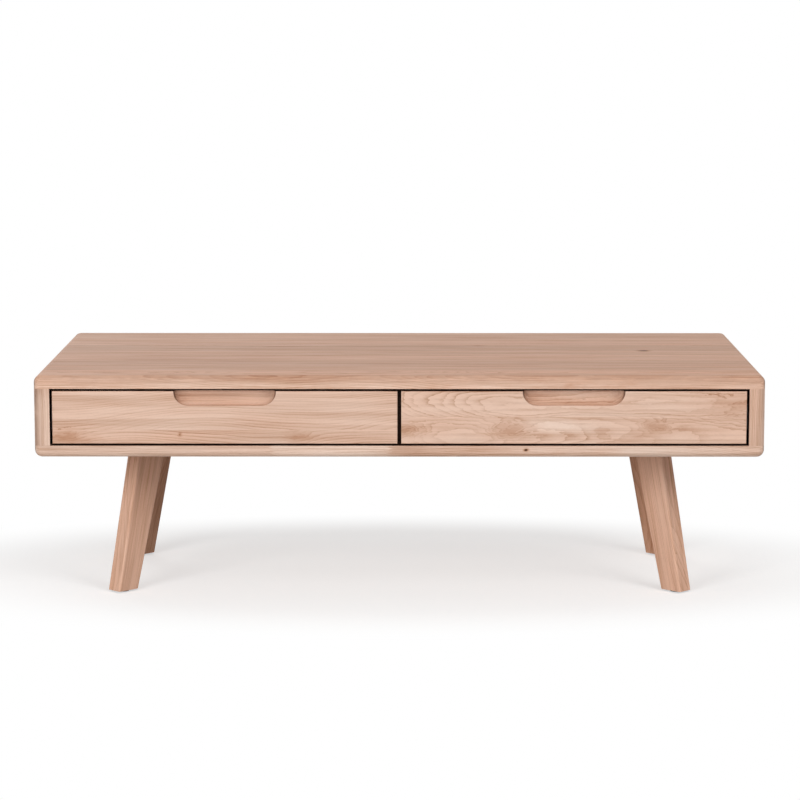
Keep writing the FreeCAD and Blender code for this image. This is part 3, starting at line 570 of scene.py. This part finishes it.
def mark_field(tree, grain, marks):
    """Sums of swell, heart, tone and warmth over the marks, falling from each middle by (1 - r) ** 2.

    A noise moves the outline along and across the grain by up to RAG of the mark's own size.
    """
    sized = add_node(tree, "Mapping", {"Vector": grain, "Scale": RAG_SIZE}, vector_type="TEXTURE")[0]
    rag = add_node(tree, "TexNoise", {"Vector": sized, "Scale": 1, "Detail": 3})["Color"]
    rag = add_node(tree, "VectorMath", {0: rag, 1: (2 * RAG, 2 * RAG, 0), 2: (-RAG, -RAG, 0)},
                   operation="MULTIPLY_ADD")[0]
    sums = {"Swell": 0.0, "Heart": 0.0, "Tone": 1.0, "Warmth": 0.0}
    for mark in marks:
        place = {"Vector": grain, "Location": mark["at"], "Scale": mark["half"]}
        ball = add_node(tree, "Mapping", place, vector_type="TEXTURE")[0]
        ball = add_node(tree, "VectorMath", {0: ball, 1: rag}, operation="ADD")[0]
        near = add_node(tree, "TexGradient", {0: ball}, gradient_type="QUADRATIC_SPHERE")["Fac"]
        for kind in sums:
            if kind.lower() in mark:
                sums[kind] = add_node(tree, "Math", {0: near, 1: mark[kind.lower()], 2: sums[kind]},
                                      operation="MULTIPLY_ADD")[0]
    return sums


print("finger joints with a pitch of", TOOTH_PITCH, "mm")

# %% [markdown]
# ## A board's surface
# A board needs to know where its middle is and which way its grain runs; a Mapping node turns the
# table's coordinates into the board's own. Three masks describe its surface: where it shows end
# grain, where an edge was broken by sanding, and how open a place is to its surroundings. A broken
# edge could be cut into the mesh, but it is under a millimetre wide, so it is a rounded normal.

# %% Grain direction and surface masks
EDGE_RADIUS = 0.8 * MM
EDGE_TURN = 0.9
CREVICE = 26 * MM
MASK_SAMPLES = 4


def turn(along, across):
    """The rotation whose own axes run along the grain, across it and into the board."""
    along, across = along.normalized(), across.normalized()
    return Matrix((along, across, along.cross(across))).transposed().to_euler()


def surface_masks(tree, rotation, alone):
    """End grain, sanded edges and openness, each 0 to 1, and the normal rounded at the edges."""
    facing = add_node(tree, "TexCoord")["Normal"]
    end = add_node(tree, "VectorMath", {0: facing, 1: rotation.to_matrix() @ X}, operation="DOT_PRODUCT")
    end = add_node(tree, "Math", {0: end["Value"]}, operation="ABSOLUTE")[0]
    rounded = add_node(tree, "Bevel", {"Radius": EDGE_RADIUS}, samples=MASK_SAMPLES)[0]
    flat = add_node(tree, "NewGeometry")["Normal"]
    edge = add_node(tree, "VectorMath", {0: rounded, 1: flat}, operation="DOT_PRODUCT")["Value"]
    edge = add_node(tree, "MapRange", {0: edge, 1: 1.0, 2: EDGE_TURN})[0]
    openness = add_node(tree, "AmbientOcclusion", {"Distance": CREVICE}, samples=MASK_SAMPLES,
                        only_local=alone)["AO"]
    return {"End": end, "Edge": edge, "Open": openness}, rounded


print("sanded edges", round(EDGE_RADIUS / MM, 1), "mm, crevices up to", round(CREVICE / MM), "mm")

# %% [markdown]
# ## A board's material
# Every board is the same chain: its coordinates, the ramps of its staves, its marks and its masks
# feed the log, and the log feeds one shader. Pores and early wood are sunk by about a tenth of a
# millimetre, so a low light catches the grain. A thin coat of matt oil gives a soft sheen at a low
# angle and no mirror.

# %% Board material
PORE_SINK = 0.12 * MM
OIL_IOR = 1.5
OIL_SPECULAR = 0.22


def board(name, wood, centre, rotation, lengths, joints=(), marks=(), ripple=1.0, fibre=1.7,
          alone=False):
    """A material for one board. lengths holds one list of staves, or more where finger joints part them.

    A board that stands alone has no crevices with its neighbours.
    """
    material, tree = new_material(name)
    space = add_node(tree, "TexCoord")["Object"]
    grain = add_node(tree, "Mapping", {"Vector": space, "Location": centre, "Rotation": rotation,
                                       "Scale": (MM, MM, MM)}, vector_type="TEXTURE")[0]
    looks, piths = jointed_ramps(tree, grain, lengths, joints)
    tone, warmth, lean = add_node(tree, "SeparateColor", {0: looks})
    tone = add_node(tree, "Math", {0: tone, 1: TONE_REACH}, operation="MULTIPLY")[0]
    warmth = add_node(tree, "MapRange", {0: warmth, "To Min": -WARMTH_REACH, "To Max": WARMTH_REACH})[0]
    lean = add_node(tree, "MapRange", {0: lean, "To Min": -LEAN_REACH, "To Max": LEAN_REACH})[0]
    pith = add_node(tree, "VectorMath", {0: piths, 1: (2 * PITH_REACH,) * 3, 2: (-PITH_REACH,) * 3},
                    operation="MULTIPLY_ADD")[0]
    masks, rounded = surface_masks(tree, rotation, alone)
    given = {"Grain": grain, "Pith": pith, "Lean": lean, "Tone": tone, "Warmth": warmth,
             "Ripple": ripple, "Fibre": fibre}
    if marks:
        field = mark_field(tree, grain, marks)
        field["Tone"] = add_node(tree, "Math", {0: tone, 1: field["Tone"]}, operation="MULTIPLY")[0]
        field["Warmth"] = add_node(tree, "Math", {0: warmth, 1: field["Warmth"]}, operation="ADD")[0]
        given.update(field)
    log = tree.nodes.new("ShaderNodeGroup")
    log.node_tree = LOGS[wood]
    for label, value in {**given, **masks}.items():
        if isinstance(value, bpy.types.NodeSocket):
            tree.links.new(value, log.inputs[label])
        else:
            log.inputs[label].default_value = value
    bump = add_node(tree, "Bump", {"Height": log.outputs["Relief"], "Distance": PORE_SINK,
                                   "Normal": rounded})[0]
    shader = add_node(tree, "BsdfPrincipled", {
        "Base Color": log.outputs["Color"], "Roughness": log.outputs["Roughness"], "Normal": bump,
        "IOR": OIL_IOR, "Specular IOR Level": OIL_SPECULAR,
    })
    add_node(tree, "OutputMaterial", {"Surface": shader[0]})
    return material


print("pores sunk by", round(PORE_SINK / MM, 2), "mm")

# %% [markdown]
# ## Top
# The top is eight full-length staves. The front one shows arches; behind it, dark and pale ones
# alternate. Their pith lies deep and aside, so the lines run nearly straight for the whole length.
# One small black knot and two dark streaks break the rhythm. Along the front edge, painted shade darkens
# the roundover where it turns up to the top, and painted light makes the lower lip paler and cooler;
# the lip turns browner to the right. Two wide soft areas, front left and rear right, are a little
# browner than the rest.

# %% Top board
def middle_of(node):
    """The middle of a node's box."""
    low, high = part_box(node)
    return (low + high) / 2


def dress(node, material):
    """Gives a node's own slot its finish."""
    frame["nodes"][node].data.materials[0] = material


top_staves = [
    stave(73, 0.98, 1.35, (6, -70), 0.035),
    stave(69, 0.89, 1.25, (95, -120)),
    stave(69, 0.86, 1.20, (-95, -120)),
    stave(79, 0.95, 1.10, (80, -150)),
    stave(66, 0.91, 1.10, (-85, -140)),
    stave(83, 0.84, 1.18, (60, -110)),
    stave(106, 0.96, 1.05, (-110, -140)),
    stave(105, 0.95, 0.95, (90, -130)),
]
END_TO_END = 20000
top_marks = [
    # Painted shade on the front edge's roundover, then painted light on its lower lip.
    {"at": (0, -321, 7), "half": (END_TO_END, 18, 18), "tone": -0.26},
    {"at": (0, -325, -8), "half": (END_TO_END, 18, 14), "tone": 0.15},
    {"at": (0, -325, -7), "half": (END_TO_END, 40, 26), "warmth": -1.8},
    {"at": (480, -325, -6), "half": (420, 30, 30), "tone": -0.16, "warmth": 0.9},
    {"at": (-430, -120, 12), "half": (450, 260, 100), "tone": -0.08, "warmth": 0.35},
    {"at": (420, 290, 12), "half": (420, 120, 100), "tone": -0.10, "warmth": 0.1},
    {"at": (462, 32, 20), "half": (26, 16, 60), "swell": 6, "heart": 1.6},
    {"at": (-241, 93, 20), "half": (110, 14, 60), "swell": 5, "heart": 0.7},
    {"at": (151, 109, 20), "half": (22, 9, 60), "swell": 3, "heart": 0.9},
]
dress("top_panel", board("oiled_oak_top", "oak", middle_of("top_panel"), turn(X, Y), [top_staves],
                         marks=top_marks))
print("top:", len(top_staves), "staves,", len(top_marks), "marks")

# %% [markdown]
# ## Bottom
# The bottom's front edge shows three lengths in a row: a pinkish one, a paler one and a browner one,
# with the zigzag of a finger joint between them and one tiny black knot. Its lower lip is paler:
# painted light on a roundover that faces down into shade. The third length starts with a brown stretch
# and turns paler to the right. Behind the front stave there is plain oak, which shows mostly from below.

# %% Bottom board
BOTTOM_FRONT = 70
BOTTOM_REST = [72, 88, 76, 95, 81, 90, 78]
BOTTOM_LOOKS = ((0.97, -0.25), (1.05, -0.60), (0.97, 0.20))
BOTTOM_TONES = (0.92, 1.05)
BOTTOM_JOINTS = (-223, -12)
bottom_lengths = []
for tone, warmth in BOTTOM_LOOKS:
    front = stave(BOTTOM_FRONT, tone, warmth)
    rest = [stave(width, rng.uniform(*BOTTOM_TONES)) for width in BOTTOM_REST]
    bottom_lengths.append([front] + rest)
bottom_marks = [
    {"at": (226, -325, 3), "half": (8, 60, 5), "swell": 2, "heart": 1.6},
    # Painted light along the lower lip, where the roundover faces down into shade.
    {"at": (0, -320, -10), "half": (END_TO_END, 22, 11), "tone": 0.35},
    {"at": (20, -325, 0), "half": (110, 40, 40), "tone": -0.14, "warmth": 0.5},
    {"at": (470, -325, 0), "half": (420, 60, 60), "tone": 0.06, "warmth": -0.9},
]
dress("bottom_panel", board("oiled_oak_bottom", "oak", middle_of("bottom_panel"), turn(X, Y),
                            bottom_lengths, joints=BOTTOM_JOINTS, marks=bottom_marks))
print("bottom:", len(bottom_lengths), "lengths of", len(bottom_lengths[0]), "staves")

# %% [markdown]
# ## Sides and divider
# The grain of these boards stands upright. Both sides are darker along their rounded outer front edges,
# the left one more: painted shade, where those edges turn away from the light. The left one's front
# stave is paler and cooler than the rest, with a browner top end. The divider stands behind the fronts
# and stays plain.

# %% Upright boards
UPRIGHT_WIDTHS = [82, 74, 91, 78, 86, 80, 77, 82]
UPRIGHT_TONES = (0.95, 1.04)
UPRIGHTS = {
    "left_side_panel": {"fibre": 1.0, "front_stave": {"tone": 1.04, "warmth": -0.35}, "marks": [
        # Painted shade along the rounded outer front edge.
        {"at": (0, -325, 14), "half": (END_TO_END, 16, 24), "tone": -0.70, "warmth": 1.3},
        {"at": (55, -325, 0), "half": (45, 50, 50), "tone": -0.16, "warmth": 0.8},
    ]},
    "right_side_panel": {"fibre": 1.4, "front_stave": {}, "marks": [
        # Painted shade along the rounded outer front edge.
        {"at": (0, -325, -14), "half": (END_TO_END, 16, 24), "tone": -0.22},
    ]},
    "centre_divider": {"fibre": 1.7, "front_stave": {}, "marks": []},
}
for node, upright in UPRIGHTS.items():
    staves = [stave(width, rng.uniform(*UPRIGHT_TONES)) for width in UPRIGHT_WIDTHS]
    staves[0].update(upright["front_stave"])
    dress(node, board(f"oiled_oak_{node}", "oak", middle_of(node), turn(Z, Y), [staves],
                      marks=upright["marks"], fibre=upright["fibre"]))
    print(node, len(staves), "staves")

# %% [markdown]
# ## Legs
# Each leg is a single piece, and its grain follows its lean. The rear legs are darker and warmer than
# the front ones: painted shade, for the table's shadow they stand in. The front right one has a pin knot
# above its middle. A leg meets only the bottom, where the case's own shade already darkens it, so its
# crevices are looked for on the leg alone.

# %% Legs
LEG_SPLAY = 64.5
LEG_RISE = 270
LEG_LEAN = LEG_SPLAY / LEG_RISE
LEG_STAVE = 120
LEG_PITH_ASIDE = 40
LEG_PITH_DEEP = -90
LEGS = {
    "front_left_leg": {"foot": (-1, -1), "tone": 1.01, "warmth": 1.1},
    "front_right_leg": {"foot": (1, -1), "tone": 1.1, "warmth": 0.9},
    # Painted shade: the rear legs' lower tone and higher warmth stand in for the table's shadow.
    "rear_left_leg": {"foot": (-1, 1), "tone": 0.74, "warmth": 1.9},
    "rear_right_leg": {"foot": (1, 1), "tone": 0.95, "warmth": 1.9},
}
leg_marks = {"front_right_leg": [{"at": (74, -28, -16), "half": (5, 4, 14), "swell": 1.5, "heart": 1.4}]}
for node, leg in LEGS.items():
    outward = Vector((*leg["foot"], 0)).normalized()
    along = Z - LEG_LEAN * outward
    pith = (rng.uniform(-LEG_PITH_ASIDE, LEG_PITH_ASIDE), LEG_PITH_DEEP)
    staves = [stave(LEG_STAVE, leg["tone"], leg["warmth"], pith)]
    dress(node, board(f"oiled_oak_{node}", "oak", middle_of(node), turn(along, outward), [staves],
                      marks=leg_marks.get(node, ()), alone=True))
print("legs lean", round(math.degrees(math.atan(LEG_LEAN)), 1), "degrees")

# %% [markdown]
# ## Drawer fronts
# Both fronts are two staves. The left one is rift-sawn: fine lines that climb a little to the right,
# with a brown corner and a smudge. The right one is flat-sawn from knotty wood, with arches, eyes and
# brown hearts, which come from a few swellings and a stronger ripple. Its middle is pale,
# and its right end brown. The last mark of each list tones the hollow of the finger pull.

# %% Drawer fronts
FRONTS = {
    "left": {
        "ripple": 0.6, "fibre": 0.85,
        "staves": [stave(25, 0.97, 0.2, (-60, 90), 0.01), stave(70, 0.98, 0.1, (-90, 110), 0.03)],
        "marks": [
            {"at": (-285, -36, 0), "half": (70, 22, 100), "swell": 9, "heart": 0.55},
            {"at": (-262, -40, 0), "half": (130, 30, 100), "tone": -0.12, "warmth": 0.9},
            {"at": (132, -36, 0), "half": (44, 18, 100), "swell": 8, "heart": 0.45},
            {"at": (-80, -31, 0), "half": (7, 7, 100), "swell": 3, "heart": 0.9},
            # Painted shade in the hollow of the finger pull.
            {"at": (0, 38, 0), "half": (90, 26, 100), "tone": -0.05},
        ],
    },
    "right": {
        "ripple": 1.8, "fibre": 0.8,
        "staves": [stave(49, 1.0, 0.1, (-10, 70), -0.02), stave(46, 1.01, 0.0, (0, 55), 0.05)],
        "marks": [
            {"at": (-298, -24, 0), "half": (70, 26, 100), "swell": 14, "heart": 0.45},
            {"at": (-116, -22, 0), "half": (70, 26, 100), "swell": 16, "heart": 0.45},
            {"at": (47, -26, 0), "half": (40, 18, 100), "swell": 7, "heart": 0.38},
            {"at": (147, -18, 0), "half": (55, 22, 100), "swell": 15, "heart": 0.45},
            {"at": (122, -34, 0), "half": (60, 14, 100), "swell": 4, "heart": 0.36},
            {"at": (304, 20, 0), "half": (115, 44, 100), "swell": 12, "heart": 0.32},
            {"at": (262, 22, 0), "half": (130, 44, 100), "tone": -0.08, "warmth": 0.6},
            {"at": (-24, -16, 0), "half": (140, 44, 100), "tone": 0.10, "warmth": -0.9},
            # Painted light in the hollow of the finger pull.
            {"at": (0, 38, 0), "half": (90, 26, 100), "tone": 0.07, "warmth": -0.6},
        ],
    },
}
for side, front in FRONTS.items():
    node = f"{side}_drawer_front"
    dress(node, board(f"oiled_oak_{side}_front", "oak", middle_of(node), turn(X, Z), [front["staves"]],
                      marks=front["marks"], ripple=front["ripple"], fibre=front["fibre"]))
    print(node, len(front["marks"]), "marks")

# %% [markdown]
# ## Inside: drawer boxes, trays and back
# The boxes are pale pine under a matt lacquer, which leaves the wood its yellow. The trays and the
# back are plywood with a face of sliced oak veneer, laid in a few wide strips that look calmer than
# staves. The dowels are beech, close to pine in tone and almost without figure, so they use the pine
# log with its pith far away.

# %% Boxes, trays, back and dowels
BOX_GRAIN = {"inner_front": (X, Z), "back": (X, Z), "left_side": (Y, Z), "right_side": (Y, Z)}
BOX_STAVE = 90
BOX_TONES = (0.97, 1.03)
TRAY_STRIP = 145
TRAY_STRIPS = 4
TRAY_TONES = (0.96, 1.02)
BACK_STRIP = 150
DOWEL_STAVE = 2000
for side in ("left", "right"):
    for piece, axes in BOX_GRAIN.items():
        node = f"{side}_drawer_{piece}"
        staves = [stave(BOX_STAVE, rng.uniform(*BOX_TONES), 0.2)]
        dress(node, board(f"lacquered_pine_{node}", "pine", middle_of(node), turn(*axes), [staves]))
    node = f"{side}_drawer_tray"
    staves = [stave(TRAY_STRIP, rng.uniform(*TRAY_TONES), 0.3) for _ in range(TRAY_STRIPS)]
    dress(node, board(f"sliced_oak_veneer_{node}", "oak", middle_of(node), turn(X, Y), [staves]))
staves = [stave(BACK_STRIP, 0.97, 0.3, (20, -120), 0.01)]
veneer = board("sliced_oak_veneer_back", "oak", middle_of("back_panel"), turn(X, Z), [staves])
dress("back_panel", veneer)
staves = [stave(DOWEL_STAVE, 0.97, 0.5, (0, -200), 0.0)]
beech = board("turned_beech_dowel", "pine", Vector((0, 0, 0)), turn(X, Y), [staves])
for node in ("carcass_dowels", "left_drawer_dowels", "right_drawer_dowels"):
    dress(node, beech)
print("materials so far:", len(bpy.data.materials))

# %% [markdown]
# ## Steel
# Rails, cages and screws are cold-rolled steel with bright zinc plating: bluish, with faint streaks
# along the rolling direction and cloudy patches of duller plating. The balls are polished bearing
# steel. Painted shade darkens the metal between the drawers and the case, where little light reaches
# it.

# %% Plated and polished steel
CLOUD_SPAN = (0.35, 0.65)
STEEL_SHADE_REACH = 20 * MM
STEEL_SHADE_SPAN = (0.2, 0.75)
STEEL_SHADE_TONE = 0.12
PLATING_RELIEF = 0.01 * MM


def metal(name, colour, dull_colour, rough, dull_rough, streak):
    """Steel whose tint and roughness follow clouds of noise, as large as streak, in mm along X, Y, Z."""
    material, tree = new_material(name)
    space = add_node(tree, "TexCoord")["Object"]
    sized = add_node(tree, "Mapping", {"Vector": space, "Scale": [MM * size for size in streak]},
                     vector_type="TEXTURE")[0]
    cloud = add_node(tree, "TexNoise", {"Vector": sized, "Scale": 1, "Detail": 4})["Fac"]
    cloud = add_node(tree, "MapRange", {0: cloud, 1: CLOUD_SPAN[0], 2: CLOUD_SPAN[1]})[0]
    tint = add_node(tree, "Mix", {0: cloud, 6: linear(colour), 7: linear(dull_colour)},
                    data_type="RGBA")[2]
    # Painted shade: the tint darkens where little light reaches the steel.
    openness = add_node(tree, "AmbientOcclusion", {"Distance": STEEL_SHADE_REACH}, samples=MASK_SAMPLES)["AO"]
    unshaded = add_node(tree, "MapRange", {0: openness, 1: STEEL_SHADE_SPAN[0], 2: STEEL_SHADE_SPAN[1],
                                        "To Min": STEEL_SHADE_TONE})[0]
    tint = add_node(tree, "VectorMath", {0: tint, "Scale": unshaded}, operation="SCALE")[0]
    dull = add_node(tree, "MapRange", {0: cloud, "To Min": rough, "To Max": dull_rough})[0]
    bump = add_node(tree, "Bump", {"Height": cloud, "Distance": PLATING_RELIEF})[0]
    shader = add_node(tree, "BsdfPrincipled", {"Base Color": tint, "Metallic": 1.0, "Roughness": dull,
                                               "Normal": bump})
    add_node(tree, "OutputMaterial", {"Surface": shader[0]})
    return material


# Plating blurs what it mirrors and streaks it along the rail; a ball gives a small sharp highlight.
zinc = metal("zinc_plated_rolled_steel", "#D5D8DC", "#B9BDC2", rough=0.26, dull_rough=0.40,
             streak=(1.5, 60, 1.5))
ball_steel = metal("polished_bearing_steel", "#D9DADC", "#CFD0D2", rough=0.06, dull_rough=0.12,
                   streak=(2, 2, 2))
print("steel:", zinc.name, ball_steel.name)

# %% [markdown]
# ## Plastic
# The glides under the feet are moulded black plastic with a fine spark-eroded grain, which turns
# their gloss into a dull grey sheen. The grain is drawn coarser than a real one, so that it shows. The
# small pieces get their finishes by the material slots of the model's record.

# %% Moulded plastic, and all the small pieces
GRIT = 0.4 * MM
GRIT_RELIEF = 0.03 * MM
GRIT_ROUGHNESS = (0.42, 0.62)
PLASTIC_IOR = 1.5

plastic, tree = new_material("moulded_black_plastic")
space = add_node(tree, "TexCoord")["Object"]
grit = add_node(tree, "TexNoise", {"Vector": space, "Scale": 1 / GRIT, "Detail": 2})["Fac"]
tint = add_node(tree, "Mix", {0: grit, 6: linear("#1B1A19"), 7: linear("#2B2927")}, data_type="RGBA")[2]
rough = add_node(tree, "MapRange", {0: grit, "To Min": GRIT_ROUGHNESS[0],
                                    "To Max": GRIT_ROUGHNESS[1]})[0]
bump = add_node(tree, "Bump", {"Height": grit, "Distance": GRIT_RELIEF})[0]
shader = add_node(tree, "BsdfPrincipled", {"Base Color": tint, "Roughness": rough, "Normal": bump,
                                           "IOR": PLASTIC_IOR})
add_node(tree, "OutputMaterial", {"Surface": shader[0]})

FINISHES = {"zinc_steel": zinc, "bearing_steel": ball_steel, "glide_plastic": plastic}
small = [part for part in frame["record"]["subparts"] if part["material_slot"] in FINISHES]
for part in small:
    dress(part["node"], FINISHES[part["material_slot"]])
print("pieces of steel and plastic:", len(small))
